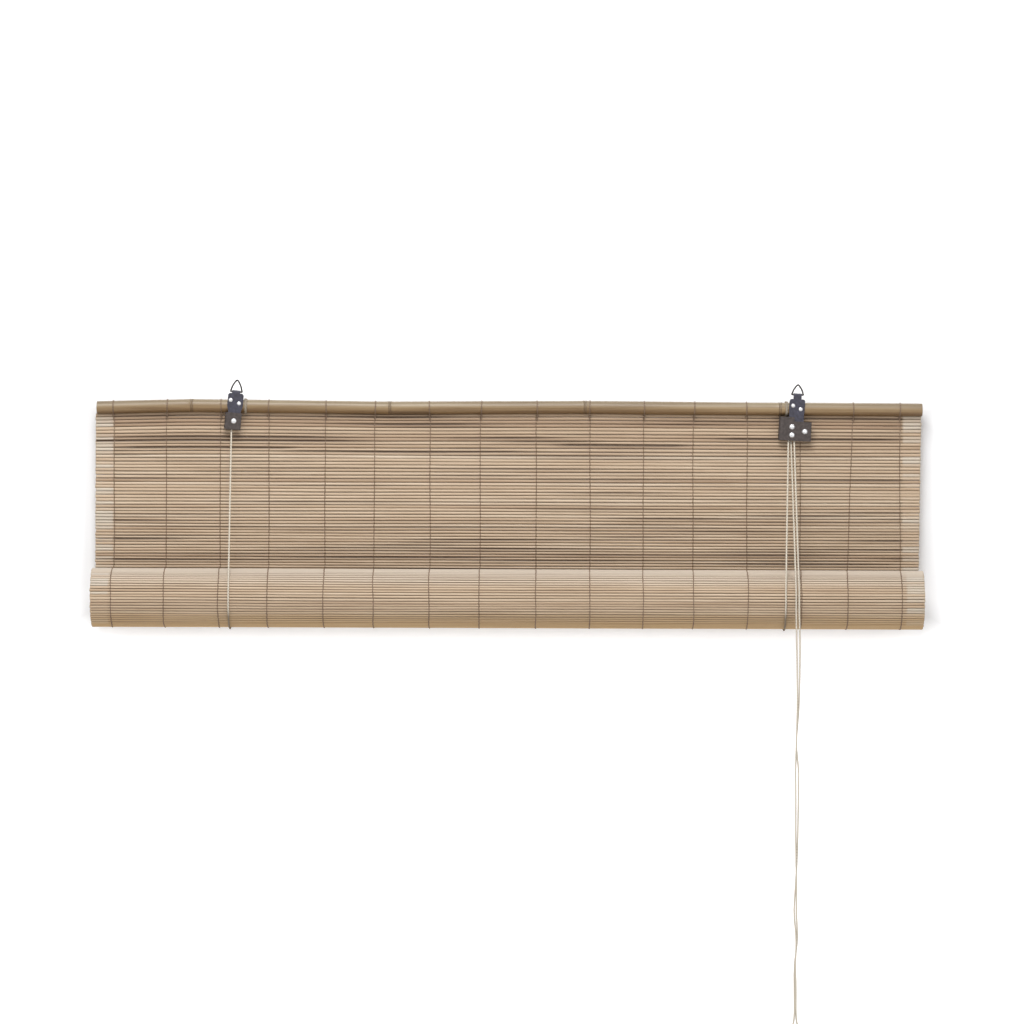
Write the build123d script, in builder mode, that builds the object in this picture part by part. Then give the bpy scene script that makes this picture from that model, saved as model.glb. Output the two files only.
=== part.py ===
"""Bamboo roll up blind, partly raised, hanging by its two rings.

X runs along the rail, to the right as seen from the room. The front faces -Y and +Z is up.
The origin lies midway between the two points where hooks carry the rings.
"""

import os
from math import acos, asin, atan2, cos, degrees, pi, radians, sin, sqrt, tan

from build123d import *

os.makedirs("parts", exist_ok=True)

# Rail: a bamboo culm that bends a little at its nodes
rail_overhang = 0.5
rail_radius = 9.45
hook_above_rail = 37.0
node_x = (-462.5, -174.3, 109.5, 393.4)
node_rise = (1.3, -1.2, 0.6, -1.0)
end_rise = (-2.2, -1.5)
node_swelling = 0.5
node_width = 7.0
node_sink = 0.3
node_crease = 0.35
culm_bore_radius = 2.5
culm_bore_depth = 12.0

# Reed mat
mat_width = 1200.0
mat_y = 2.0
reed_thickness = 4.0
hung_reeds = 58
reed_valley = 0.7
reed_crest_share = 0.45
slot_width = 6.0
slot_height = 3.6
left_slot_shift = 5.9
right_slot_shift = -18.1
slot_run = 2.0
slot_bend = 4.0
flange_reach = 1.4
sheave_leave = -8.0

# Roll
roll_radius = 43.3
roll_below_rail = 277.2
roll_reeds = 66
turn_step = 4.3
roll_turns = 8
turn_gap = 0.5
roll_valley = 1.0
step_in_from = 250.0
bottom_rod_radius = 4.8
bottom_rod_chamfer = 0.8

# Thread loops that tie the mat to the rail
thread_columns = 16
thread_inset = 25.0
thread_thickness = 0.7
thread_width = 1.2
thread_leg_reeds = 2

# Hanger straps, the same sheet left and right
sheet = 1.2
strap_top_width = 22.7
strap_neck_width = 11.8
strap_shoulder_height = 18.4
strap_shoulder_radius = 3.6
eye_height = 20.7
eye_radius = 1.03
eye_wall = 1.1
nail_shank_radius = 0.9
nail_head_radius = 3.1
nail_head_rise = 1.7
nail_depth = 12.0
nail_point = 1.5

# Wire ring
wire_radius = 0.95
ring_width = 18.5
ring_corner_radius = 1.2
wire_facets = 8

# Housings and what turns in them
rivet_radius = 1.5
rivet_head_radius = 4.0
rivet_head_rise = 2.2
rivet_tail_radius = 2.0
rivet_tail_rise = 0.7
running_gap = 0.05
side_gap = 0.3
seat_gap = 0.02
overcut = 1.0
cord_radius = 1.2
cord_facets = 8
cord_exit_drop = 1.5

# Left bracket
left_inset = 203.1
left_lean = 5.0
left_strap_tail = 27.5
left_strap_tail_width = 18.2
left_housing = (-13.2, 11.0, -34.5, -10.0)
left_axle = (0.3, -22.2)
left_groove_radius = 2.4
left_flange_radius = 4.6
left_sheave_width = 3.6
left_depth = 4.2
left_back_leaf = (2.8, -20.1)
left_nails = ((-7.0, 8.0), (5.5, 4.0))

# Right bracket
right_inset = 180.4
right_lean = 3.0
right_strap_tail = 31.5
right_strap_tail_width = 21.5
right_housing = (-24.9, 22.5, -46.2, -12.1)
right_step = (-2.6, -18.2)
right_axle = (-5.6, -26.3)
right_post = (-5.1, -38.2)
cam_pivot = (13.3, -32.2)
right_groove_radius = 3.8
right_flange_radius = 6.2
right_sheave_width = 3.2
right_depth = 7.3
right_back_leaf = (22.5, -23.0)
right_nails = ((-5.6, 4.5), (5.5, -0.1))
cam_radius = 4.5
cam_nose_radius = 2.2
cam_reach = 10.5
cam_width = 6.0

# Cords
cord_gap = 0.3
anchor_turns = 2
anchor_facets = 20
left_anchor_shift = 15.2
right_anchor_shift = -14.7
left_sling_shift = -4.2
right_sling_shift = -19.5
pull_exit_shift = (-8.0, -3.6)
pull_cord_shift = (-4.8, -0.4)
post_bend = 8.0
drop_length = 250.0
pair_half = 1.8
tail_route = (
    (0.0, 0, 527.2),
    (0.1, 8, 575.0),
    (-0.4, 30, 620.0),
    (-0.5, 75, 662.0),
    (-1.2, 130, 698.0),
    (-2.4, 185, 728.0),
    (1.0, 235, 765.0),
    (-2.6, 290, 800.0),
    (-2.4, 330, 832.0),
    (-3.2, 365, 862.0),
    (-1.6, 400, 889.0),
)
coil_radius = 20.5
coil_depth = 13.0
coil_width = 20.0
coil_facets = 24

# Derived places
rail_z = -hook_above_rail
rail_half = mat_width / 2 + rail_overhang
left_x = left_inset - mat_width / 2
right_x = mat_width / 2 - right_inset
slot_left_x = left_x + left_slot_shift
slot_right_x = right_x + right_slot_shift
left_anchor_x = left_x + left_anchor_shift
right_anchor_x = right_x + right_anchor_shift
left_sling_x = left_x + left_sling_shift
right_sling_x = right_x + right_sling_shift
pull_exit_x = [right_x + shift for shift in pull_exit_shift]
pull_cord_x = [right_x + shift for shift in pull_cord_shift]
thread_span = mat_width - 2 * thread_inset
mat_back = mat_y + reed_thickness / 2
mat_front = mat_y - reed_thickness / 2
roll_y = mat_back - roll_radius
roll_z = rail_z - roll_below_rail
front_face = -rail_radius - seat_gap
sling_radius = roll_radius + cord_gap + cord_radius
rail_path = (
    [(-rail_half, end_rise[0])]
    + list(zip(node_x, node_rise))
    + [(rail_half, end_rise[1])]
)


def rail_rise(x):
    """Height of the bent culm's axis over its mean line at x."""
    for (x0, z0), (x1, z1) in zip(rail_path, rail_path[1:]):
        if x <= x1:
            return z0 + (z1 - z0) * (x - x0) / (x1 - x0)
    return rail_path[-1][1]


def bracket_plane(x, lean):
    """Plane of a strap's back, centred on the rail at x, its top leaning to the right by lean degrees."""
    turn = radians(lean)
    return Plane(
        origin=(x, front_face, rail_z + rail_rise(x)),
        x_dir=(cos(turn), 0, -sin(turn)),
        z_dir=(0, -1, 0),
    )


def save(part, name):
    """Label a finished piece and write its file."""
    part.label = name
    export_step(part, "parts/" + name + ".step")


def tangent_from(y, z, radius):
    """Where a taut cord from (y, z) meets the roll's circle: the point and its angle above the roll's axis."""
    dy = y - roll_y
    dz = z - roll_z
    reach = sqrt(dy * dy + dz * dz)
    side = acos(radius / reach)
    heading = atan2(dz, dy)
    angle = heading + side if y < mat_front else heading - side
    return roll_y + radius * cos(angle), roll_z + radius * sin(angle), angle


def straight_cord(start, end, came=(0, 0, 0), goes=(0, 0, 0)):
    """A taut stretch of cord between two points, set off a little where it turns from or into another stretch."""
    axis = Vector(*end) - Vector(*start)
    along = axis.normalized()
    turned = [radians(Vector(*way).get_angle(axis)) if any(way) else 0 for way in (came, goes)]
    start = Vector(*start) + along * (cord_radius * tan(turned[0]) + seat_gap)
    axis = Vector(*end) - along * (cord_radius * tan(turned[1]) + seat_gap) - start
    with BuildPart() as run:
        with BuildSketch(Plane(origin=start, z_dir=axis)):
            RegularPolygon(cord_radius, cord_facets)
        extrude(amount=axis.length)
    return run.part


def routed_cord(points, label):
    """A slack stretch of cord: straight runs joined by arcs as large as the runs allow."""
    radii = []
    for before, here, after in zip(points, points[1:], points[2:]):
        came = Vector(*here) - Vector(*before)
        goes = Vector(*after) - Vector(*here)
        turn = radians(came.get_angle(goes))
        radii.append(0.45 * min(came.length, goes.length) / tan(turn / 2))
    with BuildPart() as run:
        with BuildLine() as route:
            FilletPolyline(*points, radius=radii)
        with BuildSketch(Plane(origin=points[0], z_dir=route.line % 0)) as section:
            RegularPolygon(cord_radius, cord_facets)
        sweep(path=route.line)
    ideal = sum(edge.length for edge in route.edges()) * section.sketch.area
    print(label, "radii", [round(r, 1) for r in radii], "volume share", round(run.part.volume / ideal, 4))
    return run.part


left_plane = bracket_plane(left_x, left_lean)
right_plane = bracket_plane(right_x, right_lean)

def over_sheave(plane, place, middle, pitch, start, end):
    """Line of a cord's arc over a sheave, in the world frame: first point, midpoint, last point."""
    points = []
    for angle in (start, (start + end) / 2, end):
        u = place[0] + pitch * cos(radians(angle))
        v = place[1] + pitch * sin(radians(angle))
        points.append(plane.from_local_coords((u, v, middle)))
    return points


# Where the cords lie over the sheaves
left_sheave_middle = -side_gap - left_sheave_width / 2
front_sheave_middle = -side_gap - right_sheave_width / 2
back_sheave_middle = front_sheave_middle - right_sheave_width - side_gap
left_pitch = left_groove_radius + running_gap + cord_radius
right_pitch = right_groove_radius + running_gap + cord_radius
left_arc = over_sheave(left_plane, left_axle, left_sheave_middle, left_pitch, 180 + left_lean, 90)
front_arc = over_sheave(right_plane, right_axle, front_sheave_middle, right_pitch, 180 + right_lean, sheave_leave)
back_arc = over_sheave(right_plane, right_axle, back_sheave_middle, right_pitch, 90, sheave_leave)

# Head rail
with BuildPart() as head_rail:
    for (x, z), (next_x, next_z) in zip(rail_path, rail_path[1:]):
        internode = Vector(next_x - x, 0, next_z - z)
        with BuildSketch(Plane(origin=(x, 0, rail_z + z), z_dir=internode)):
            Circle(rail_radius)
        extrude(amount=internode.length)
    for x, z in zip(node_x, node_rise):
        crest = rail_radius + node_swelling
        with BuildSketch(Plane.XZ):
            with BuildLine():
                Polyline(
                    (x - node_width / 2, rail_z + z),
                    (x - node_width / 2, rail_z + z + rail_radius - node_sink),
                    (x - node_width / 6, rail_z + z + crest),
                    (x, rail_z + z + crest - node_crease),
                    (x + node_width / 6, rail_z + z + crest),
                    (x + node_width / 2, rail_z + z + rail_radius - node_sink),
                    (x + node_width / 2, rail_z + z),
                    close=True,
                )
            make_face()
        revolve(axis=Axis((x, 0, rail_z + z), (1, 0, 0)))
    for side, rise in ((-1, end_rise[0]), (1, end_rise[1])):
        with BuildSketch(Plane(origin=(side * rail_half, 0, rail_z + rise), z_dir=(-side, 0, 0))):
            Circle(culm_bore_radius)
        extrude(amount=culm_bore_depth, mode=Mode.SUBTRACT)
    for plane, nails in ((left_plane, left_nails), (right_plane, right_nails)):
        with BuildSketch(plane):
            with Locations(*nails):
                Circle(nail_shank_radius + seat_gap)
        extrude(amount=-nail_depth, mode=Mode.SUBTRACT)
save(head_rail.part, "head_rail")

# Hung part of the mat: reeds as ridges on one wall, with a slot where the left cord passes to the back
hung_top = rail_z + min(z for x, z in rail_path) - rail_radius - seat_gap
hung_bottom = roll_z + side_gap
hung_pitch = (hung_top - hung_bottom) / hung_reeds


def reed_edge(face, valley):
    """Outline points down one face of the hung mat."""
    points = []
    for reed in range(hung_reeds):
        middle = hung_top - (reed + 0.5) * hung_pitch
        crest = reed_crest_share * hung_pitch / 2
        points.append((valley, middle + hung_pitch / 2))
        points.append((face, middle + crest))
        points.append((face, middle - crest))
    points.append((valley, hung_bottom))
    return points


with BuildPart() as hung_mat:
    with BuildSketch(Plane.YZ.offset(-mat_width / 2)):
        with BuildLine():
            Polyline(
                *reed_edge(mat_front, mat_y - reed_valley),
                *reversed(reed_edge(mat_back, mat_y + reed_valley)),
                close=True,
            )
        make_face()
    extrude(amount=mat_width)
    with BuildSketch(Plane.XZ.offset(-mat_back)):
        with Locations((slot_left_x, left_arc[2].Z), (slot_right_x, back_arc[0].Z)):
            Rectangle(slot_width, slot_height)
        for x in (left_anchor_x, right_anchor_x):
            band_bottom = rail_z + rail_rise(x) - rail_radius - 2 * cord_radius - 3 * seat_gap
            with Locations((x, band_bottom + cord_radius)):
                Rectangle(2 * anchor_turns * cord_radius + side_gap, 2 * cord_radius)
    extrude(amount=reed_thickness, mode=Mode.SUBTRACT)
save(hung_mat.part, "hung_mat")


def spiral_radius(angle):
    """Middle radius of the rolled mat after angle degrees from where it leaves the hung part."""
    turn = int(angle // 360)
    step_in = max(0.0, angle - 360 * turn - step_in_from) / (360 - step_in_from)
    return roll_radius - reed_thickness / 2 - turn_step * (turn + step_in)


def spiral_point(angle, offset):
    """Point of the spiral in the roll's section, running down at the back, then under and up the front."""
    radius = spiral_radius(angle) + offset
    return roll_y + radius * cos(radians(angle)), roll_z - radius * sin(radians(angle))


# Rolled part of the mat
ridge = 360 / roll_reeds
outer = []
for reed in range(roll_reeds):
    outer.append(spiral_point(reed * ridge + 0.01, reed_thickness / 2 - roll_valley))
    outer.append(spiral_point((reed + 0.25) * ridge, reed_thickness / 2))
    outer.append(spiral_point((reed + 0.75) * ridge, reed_thickness / 2))
spiral_steps = 20
for step in range(spiral_steps, spiral_steps * roll_turns + 1):
    outer.append(spiral_point(step * 360 / spiral_steps, (reed_thickness - turn_gap) / 2 - seat_gap))
inner = []
for step in range(spiral_steps * roll_turns + 1):
    inner.append(spiral_point(step * 360 / spiral_steps, -(reed_thickness - turn_gap) / 2))
with BuildPart() as mat_roll:
    with BuildSketch(Plane.YZ.offset(-mat_width / 2)):
        with BuildLine():
            Polyline(*outer, *reversed(inner), close=True)
        make_face()
    extrude(amount=mat_width)
save(mat_roll.part, "mat_roll")

with BuildPart() as bottom_rod:
    with BuildSketch(Plane.YZ.offset(-mat_width / 2)):
        with Locations((roll_y, roll_z)):
            Circle(bottom_rod_radius)
    extrude(amount=mat_width)
    chamfer(bottom_rod.edges().filter_by(GeomType.CIRCLE), bottom_rod_chamfer)
save(bottom_rod.part, "bottom_rod")

# Thread loops round the rail, each with a leg down either face of the mat
loop_x = []
for column in range(thread_columns):
    x = (column / (thread_columns - 1) - 0.5) * thread_span
    covered = any(abs(x - strap_x) < strap_top_width / 2 + 2 * thread_width for strap_x in (left_x, right_x))
    if not covered:
        loop_x.append(x)
leg_half = reed_thickness / 2 + seat_gap
leg_bottom = hung_top - thread_leg_reeds * hung_pitch
with BuildPart() as rail_thread_loops:
    for x in loop_x:
        loop_z = rail_z + rail_rise(x)
        leg_length = loop_z - leg_bottom
        with BuildSketch(Plane.YZ.offset(x - thread_width / 2)):
            with Locations((0, loop_z)):
                RegularPolygon(rail_radius + seat_gap + thread_thickness, 12, major_radius=False)
            with Locations((mat_y, loop_z - leg_length / 2)):
                Rectangle(2 * (leg_half + thread_thickness), leg_length)
            with Locations((0, loop_z)):
                RegularPolygon(rail_radius + seat_gap, 12, major_radius=False, mode=Mode.SUBTRACT)
            with Locations((mat_y, loop_z - leg_length / 2 - overcut)):
                Rectangle(2 * leg_half, leg_length + 2 * overcut, mode=Mode.SUBTRACT)
        extrude(amount=thread_width)
save(rail_thread_loops.part, "rail_thread_loops")


def hanger_strap(plane, waist, tail, tail_width, axle, nails):
    """Pressed strap in front of the rail: shoulders, a neck rolled into an eye, and a tail behind the front leaf."""
    half_top = strap_top_width / 2
    half_neck = strap_neck_width / 2
    eye_outer = eye_radius + eye_wall
    with BuildPart() as strap:
        with BuildSketch(plane) as outline:
            with BuildLine():
                Polyline(
                    (-half_top, 0),
                    (-half_top, strap_shoulder_height),
                    (-half_neck, strap_shoulder_height),
                    (-half_neck, eye_height),
                    (half_neck, eye_height),
                    (half_neck, strap_shoulder_height),
                    (half_top, strap_shoulder_height),
                    (half_top, 0),
                    (tail_width / 2, waist),
                    (tail_width / 2, -tail),
                    (-tail_width / 2, -tail),
                    (-tail_width / 2, waist),
                    close=True,
                )
            make_face()
            shoulders = outline.vertices().group_by(Axis.Y)[-2].sort_by(Axis.X)
            fillet([shoulders[0], shoulders[-1]], strap_shoulder_radius)
        extrude(amount=sheet)
        eye_plane = Plane(
            origin=plane.from_local_coords((-half_neck, eye_height, sheet - eye_outer)),
            x_dir=plane.z_dir,
            z_dir=plane.x_dir,
        )
        with BuildSketch(eye_plane):
            Circle(eye_outer)
        extrude(amount=strap_neck_width)
        with BuildSketch(eye_plane):
            Circle(eye_radius)
        extrude(amount=strap_neck_width, mode=Mode.SUBTRACT)
        with BuildSketch(plane):
            with Locations(axle):
                Circle(rivet_radius + seat_gap)
            with Locations(*nails):
                Circle(nail_shank_radius + seat_gap)
        extrude(amount=sheet, mode=Mode.SUBTRACT)
    return strap.part


def hang_ring(plane):
    """Wire bent into a closed triangle, its base through the strap's eye."""
    half_base = ring_width / 2 - wire_radius
    top = hook_above_rail + wire_radius - eye_height
    slope = atan2(top, half_base)
    sharp_top = top + ring_corner_radius * (1 / cos(slope) - 1)
    ring_plane = Plane(
        origin=plane.from_local_coords((0, eye_height, sheet - eye_radius - eye_wall)),
        x_dir=plane.x_dir,
        z_dir=plane.z_dir,
    )
    with BuildPart() as ring:
        with BuildLine(ring_plane) as bend:
            FilletPolyline(
                (0, 0), (half_base, 0), (0, sharp_top), (-half_base, 0), (-0.01, 0),
                radius=ring_corner_radius,
            )
            Line((-0.01, 0), (0, 0))
        with BuildSketch(Plane(origin=bend.line @ 0, z_dir=bend.line % 0)):
            RegularPolygon(wire_radius, wire_facets)
        sweep(path=bend.line)
    return ring.part


def folded_housing(plane, outline, step, depth, back_leaf, holes):
    """Sheet folded into a U along its left edge: a front leaf over the strap and a smaller back leaf."""
    left, right, bottom, top = outline
    outer = (2 * sheet + depth + sheet) / 2
    middle = 2 * sheet - outer
    floor = Plane(
        origin=plane.from_local_coords((0, bottom, middle)),
        x_dir=plane.x_dir,
        z_dir=plane.y_dir,
    )
    with BuildPart() as housing:
        with BuildSketch(floor):
            with Locations((left + outer, 0)):
                Circle(outer)
            with Locations(((left + outer + right) / 2, 0)):
                Rectangle(right - left - outer, 2 * outer)
            with Locations((left + outer, 0)):
                Circle(outer - sheet, mode=Mode.SUBTRACT)
            with Locations(((left + outer + right) / 2 + overcut, 0)):
                Rectangle(right - left - outer + 2 * overcut, 2 * (outer - sheet), mode=Mode.SUBTRACT)
        extrude(amount=top - bottom)
        if step:
            with BuildSketch(plane):
                with Locations(((step[0] + right + overcut) / 2, (step[1] + top + overcut) / 2)):
                    Rectangle(right + overcut - step[0], top + overcut - step[1])
            extrude(amount=3 * sheet, both=True, mode=Mode.SUBTRACT)
        behind = Plane(origin=plane.from_local_coords((0, 0, -depth)), x_dir=plane.x_dir, z_dir=-plane.z_dir)
        flip = -1 if behind.y_dir.dot(plane.y_dir) < 0 else 1
        with BuildSketch(behind):
            with Locations(((left + outer + right + overcut) / 2, flip * (back_leaf[1] + top + overcut) / 2)):
                Rectangle(right + overcut - left - outer, top + overcut - back_leaf[1])
            if right > back_leaf[0]:
                with Locations(((back_leaf[0] + right + overcut) / 2, flip * (bottom + top) / 2)):
                    Rectangle(right + overcut - back_leaf[0], top - bottom + 2 * overcut)
        extrude(amount=2 * sheet, mode=Mode.SUBTRACT)
        with BuildSketch(plane):
            with Locations(*holes):
                Circle(rivet_radius + seat_gap)
        extrude(amount=depth + 3 * sheet, both=True, mode=Mode.SUBTRACT)
    return housing.part


def dome(radius, rise):
    """Section of a domed head, from its rim to its axis: two bevelled steps on the ball's arc and a small flat top."""
    height = rise - seat_gap
    ball = (radius**2 + height**2) / (2 * height)
    points = []
    for share in (1, 0.68, 0.34):
        lean = share * asin(radius / ball)
        points.append((ball * sin(lean), rise - ball + ball * cos(lean)))
    return points + [(0, points[-1][1])]


def rivet(plane, place, depth):
    """Domed rivet through front leaf, gap and back leaf, with a small clinched tail."""
    grip = 3 * sheet + depth
    foot = plane.from_local_coords((place[0], place[1], 2 * sheet))
    with BuildPart() as body:
        with BuildSketch(Plane(origin=foot, x_dir=plane.x_dir, z_dir=-plane.y_dir)):
            with BuildLine():
                Polyline(
                    (0, -grip - rivet_tail_rise),
                    (rivet_radius, -grip - rivet_tail_rise),
                    (rivet_tail_radius, -grip - seat_gap),
                    (rivet_radius, -grip - seat_gap),
                    (rivet_radius, seat_gap),
                    *dome(rivet_head_radius, rivet_head_rise),
                    close=True,
                )
            make_face()
        revolve(axis=Axis(foot, plane.z_dir))
    return body.part


def sheave(plane, place, middle, width, groove, flange):
    """Grooved wheel on a rivet."""
    centre = plane.from_local_coords((place[0], place[1], middle))
    bore = rivet_radius + running_gap
    half_groove = cord_radius + running_gap
    flat = half_groove * tan(radians(22.5))
    with BuildPart() as wheel:
        with BuildSketch(Plane(origin=centre, x_dir=plane.x_dir, z_dir=-plane.y_dir)):
            with BuildLine():
                Polyline(
                    (flange, half_groove),
                    (flange, width / 2),
                    (bore, width / 2),
                    (bore, -width / 2),
                    (flange, -width / 2),
                    (flange, -half_groove),
                    (groove + half_groove - flat, -half_groove),
                    (groove, -flat),
                    (groove, flat),
                    (groove + half_groove - flat, half_groove),
                    close=True,
                )
            make_face()
        revolve(axis=Axis(centre, plane.z_dir))
    return wheel.part


for side, plane, top, tail, tail_width, axle, nails in (
    ("left", left_plane, left_housing[3], left_strap_tail, left_strap_tail_width, left_axle, left_nails),
    ("right", right_plane, right_housing[3], right_strap_tail, right_strap_tail_width, right_axle, right_nails),
):
    save(hanger_strap(plane, top + sheet, tail, tail_width, axle, nails), "hanger_strap_" + side)
save(hang_ring(left_plane), "hang_ring_left")
save(hang_ring(right_plane), "hang_ring_right")

# Domed nails through the straps into the culm
with BuildPart() as strap_nails:
    for plane, places in ((left_plane, left_nails), (right_plane, right_nails)):
        for place in places:
            foot = plane.from_local_coords((place[0], place[1], sheet))
            with BuildSketch(Plane(origin=foot, x_dir=plane.x_dir, z_dir=-plane.y_dir)):
                with BuildLine():
                    Polyline(
                        (0, -nail_depth),
                        (nail_shank_radius, nail_point - nail_depth),
                        (nail_shank_radius, seat_gap),
                        *dome(nail_head_radius, nail_head_rise),
                        close=True,
                    )
                make_face()
            revolve(axis=Axis(foot, plane.z_dir))
save(strap_nails.part, "strap_nails")

save(folded_housing(left_plane, left_housing, None, left_depth, left_back_leaf, [left_axle]), "pulley_housing_left")
save(
    folded_housing(
        right_plane, right_housing, right_step, right_depth, right_back_leaf, [right_axle, right_post, cam_pivot]
    ),
    "lock_housing_right",
)
save(rivet(left_plane, left_axle, left_depth), "axle_rivet_left")
save(rivet(right_plane, right_axle, right_depth), "axle_rivet_right")
save(rivet(right_plane, right_post, right_depth), "guide_post_rivet")
save(rivet(right_plane, cam_pivot, right_depth), "cam_rivet")
save(
    sheave(left_plane, left_axle, left_sheave_middle, left_sheave_width, left_groove_radius, left_flange_radius),
    "sheave_left",
)
save(
    sheave(right_plane, right_axle, front_sheave_middle, right_sheave_width, right_groove_radius, right_flange_radius),
    "sheave_right_front",
)
save(
    sheave(right_plane, right_axle, back_sheave_middle, right_sheave_width, right_groove_radius, right_flange_radius),
    "sheave_right_back",
)

with BuildPart() as lock_cam:
    cam_plane = Plane(
        origin=right_plane.from_local_coords((0, 0, -(right_depth - cam_width) / 2)),
        x_dir=right_plane.x_dir,
        z_dir=-right_plane.z_dir,
    )
    with BuildSketch(cam_plane):
        with Locations((cam_pivot[0], -cam_pivot[1])):
            Circle(cam_radius)
        with Locations((cam_pivot[0] - cam_reach, -cam_pivot[1])):
            Circle(cam_nose_radius)
        make_hull()
        with Locations((cam_pivot[0], -cam_pivot[1])):
            Circle(rivet_radius + running_gap, mode=Mode.SUBTRACT)
    extrude(amount=cam_width)
save(lock_cam.part, "lock_cam")


def anchor_ring(x):
    """Turns of cord knotted round the rail, as one band."""
    half = anchor_turns * cord_radius
    inner = rail_radius + seat_gap
    with BuildPart() as ring:
        with BuildSketch(Plane(origin=(x - half, 0, rail_z + rail_rise(x)), z_dir=(1, 0, 0))):
            RegularPolygon(inner + 2 * cord_radius, anchor_facets)
            RegularPolygon(inner, anchor_facets, major_radius=False, mode=Mode.SUBTRACT)
        extrude(amount=2 * half)
        rims = ring.faces().sort_by(Axis.X)
        outer = [face.outer_wire().edges() for face in (rims[0], rims[-1])]
        chamfer(outer[0] + outer[1], 0.7 * cord_radius)
    return ring.part


def wrap(x, start, end):
    """Cord lying round the roll at x, from angle start to angle end in the roll's section."""
    with BuildPart() as arc:
        with BuildSketch(Plane(origin=(x, roll_y + sling_radius, roll_z), x_dir=(1, 0, 0), z_dir=(0, 0, 1))):
            RegularPolygon(cord_radius, cord_facets)
        revolve(axis=Axis((x, roll_y, roll_z), (-1, 0, 0)), revolution_arc=degrees(end - start))
    return arc.part.rotate(Axis((x, roll_y, roll_z), (1, 0, 0)), degrees(end))


def back_start(x):
    """Top of a cord's fall behind the mat, just under the band round the rail."""
    fall_y = mat_back + cord_gap + cord_radius
    band = rail_radius + seat_gap + 2 * cord_radius + seat_gap
    return x, fall_y, rail_z + rail_rise(x) - sqrt(band**2 - (fall_y - cord_radius) ** 2) - 0.2


save(anchor_ring(left_anchor_x), "left_cord_anchor")
save(anchor_ring(right_anchor_x), "right_cord_anchor")

# Left cord, from its anchor: down the back, under the roll, up the front, over the left sheave, along the back
left_exit = Vector(left_arc[0].X, left_arc[0].Y, rail_z + left_housing[2] - cord_exit_drop)
right_exit = Vector(front_arc[0].X, front_arc[0].Y, rail_z + right_housing[2] - cord_exit_drop)

slings = (("left_cord", left_anchor_x, left_sling_x, left_exit), ("right_cord", right_anchor_x, right_sling_x, right_exit))
for name, anchor_x, sling_x, housing_exit in slings:
    front_y, front_z, front_angle = tangent_from(housing_exit.Y, housing_exit.Z, sling_radius)
    sling_top = (sling_x, roll_y + sling_radius, roll_z)
    save(straight_cord(back_start(anchor_x), sling_top, goes=(0, 0, -1)), name + "_back_fall")
    save(wrap(sling_x, front_angle - 2 * pi, 0), name + "_sling")
    save(straight_cord(tuple(housing_exit), (sling_x, front_y, front_z), came=(0, 0, -1)), name + "_front_fall")

post_reach = rivet_radius + seat_gap + cord_radius + side_gap
pull_exits = []
for exit_x, middle in zip(pull_exit_x, (back_sheave_middle, front_sheave_middle)):
    pull_exits.append(Vector(exit_x, front_face - middle, rail_z + right_housing[2] - cord_exit_drop))

left_top = left_arc[2]
behind_y = mat_back + 2 * cord_gap + 3 * cord_radius
with BuildPart() as left_cord_crossing:
    post_side = right_plane.from_local_coords((right_post[0] + post_reach, right_post[1], back_sheave_middle))
    crossing = [
        left_top + left_plane.x_dir * flange_reach * left_pitch,
        Vector(slot_left_x - slot_run / 2, mat_front - slot_run, left_top.Z),
        Vector(slot_left_x + slot_run, behind_y, left_top.Z),
        Vector(slot_right_x - slot_run, behind_y, back_arc[0].Z),
        Vector(slot_right_x + slot_run / 2, mat_front - slot_run, back_arc[0].Z),
        back_arc[0] - right_plane.x_dir * flange_reach * right_pitch,
    ]
    radii = []
    for before, here, after in zip([left_top] + crossing, crossing, crossing[1:] + [back_arc[0]]):
        came = here - before
        goes = after - here
        turn = radians(came.get_angle(goes))
        radii.append(min(slot_bend, 0.45 * min(came.length, goes.length) / tan(turn / 2)))
    with BuildLine() as route:
        Line(left_exit, left_arc[0])
        ThreePointArc(*left_arc)
        FilletPolyline(left_top, *crossing, back_arc[0], radius=radii)
        ThreePointArc(*back_arc)
        FilletPolyline(back_arc[2], post_side, pull_exits[0], radius=post_bend)
    with BuildSketch(Plane(origin=left_exit, z_dir=route.line % 0)):
        RegularPolygon(cord_radius, cord_facets)
    sweep(path=route.line, transition=Transition.ROUND)
print("left_cord_crossing radii", [round(r, 1) for r in radii])
save(left_cord_crossing.part, "left_cord_crossing")

# Right cord over the front sheave and down past the guide post
with BuildPart() as right_cord_over_sheave:
    post_side = right_plane.from_local_coords((right_post[0] + post_reach, right_post[1], front_sheave_middle))
    with BuildLine() as route:
        Line(right_exit, front_arc[0])
        ThreePointArc(*front_arc)
        FilletPolyline(front_arc[2], post_side, pull_exits[1], radius=post_bend)
    with BuildSketch(Plane(origin=right_exit, z_dir=route.line % 0)):
        RegularPolygon(cord_radius, cord_facets)
    sweep(path=route.line, transition=Transition.ROUND)
save(right_cord_over_sheave.part, "right_cord_over_sheave")

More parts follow.
